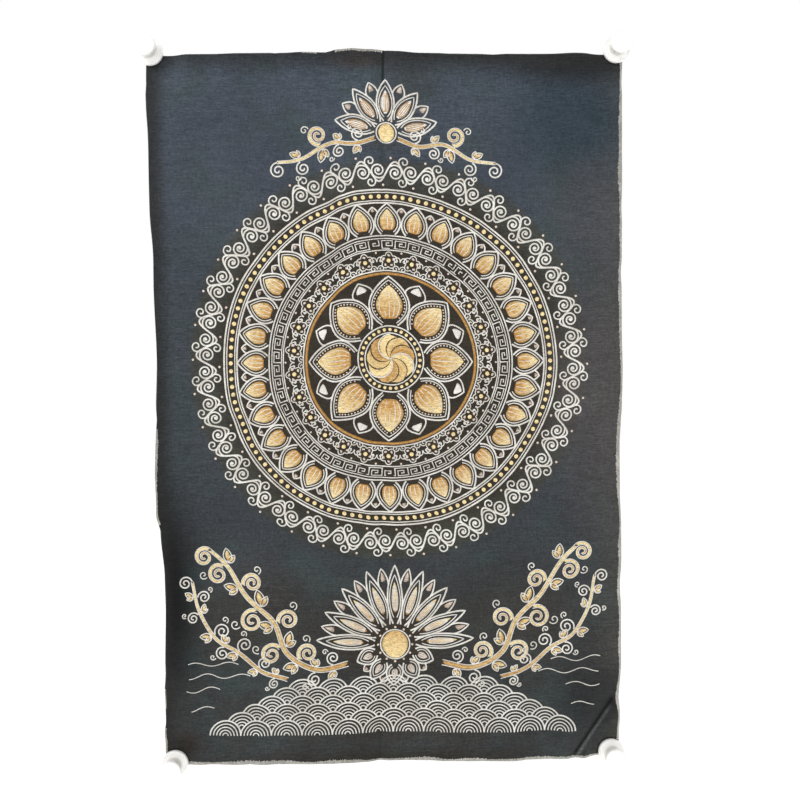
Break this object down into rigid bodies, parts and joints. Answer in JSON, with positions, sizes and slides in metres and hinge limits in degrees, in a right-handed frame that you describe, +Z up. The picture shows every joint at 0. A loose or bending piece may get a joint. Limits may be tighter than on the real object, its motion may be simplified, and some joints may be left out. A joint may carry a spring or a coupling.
{
  "type": "woven brocade thangka wall hanging with four holding knobs",
  "caption": "Upright dark brocade cloth panel, nearly flat, held to a wall by round bobbin knobs at its corners.",
  "frame": {"origin": "middle of the cloth's top edge, on the wall plane that its back rests against", "axes": "+Z up along the panel's long side, +Y into the wall across its thickness, so the woven face looks along -Y, and +X to the viewer's right"},
  "size_m": [0.6209, 0.0225, 0.9467],
  "materials": {
    "brocade_cloth": "dark slate jacquard cloth with silver-white and gold threads",
    "white_plastic": "smooth white moulded plastic"
  },
  "bodies": {
    "root": {"cloth_panel": "brocade_cloth", "knob_top_left": "white_plastic", "knob_top_right": "white_plastic", "knob_bottom_left": "white_plastic", "knob_bottom_right": "white_plastic"}
  },
  "joints": []
}
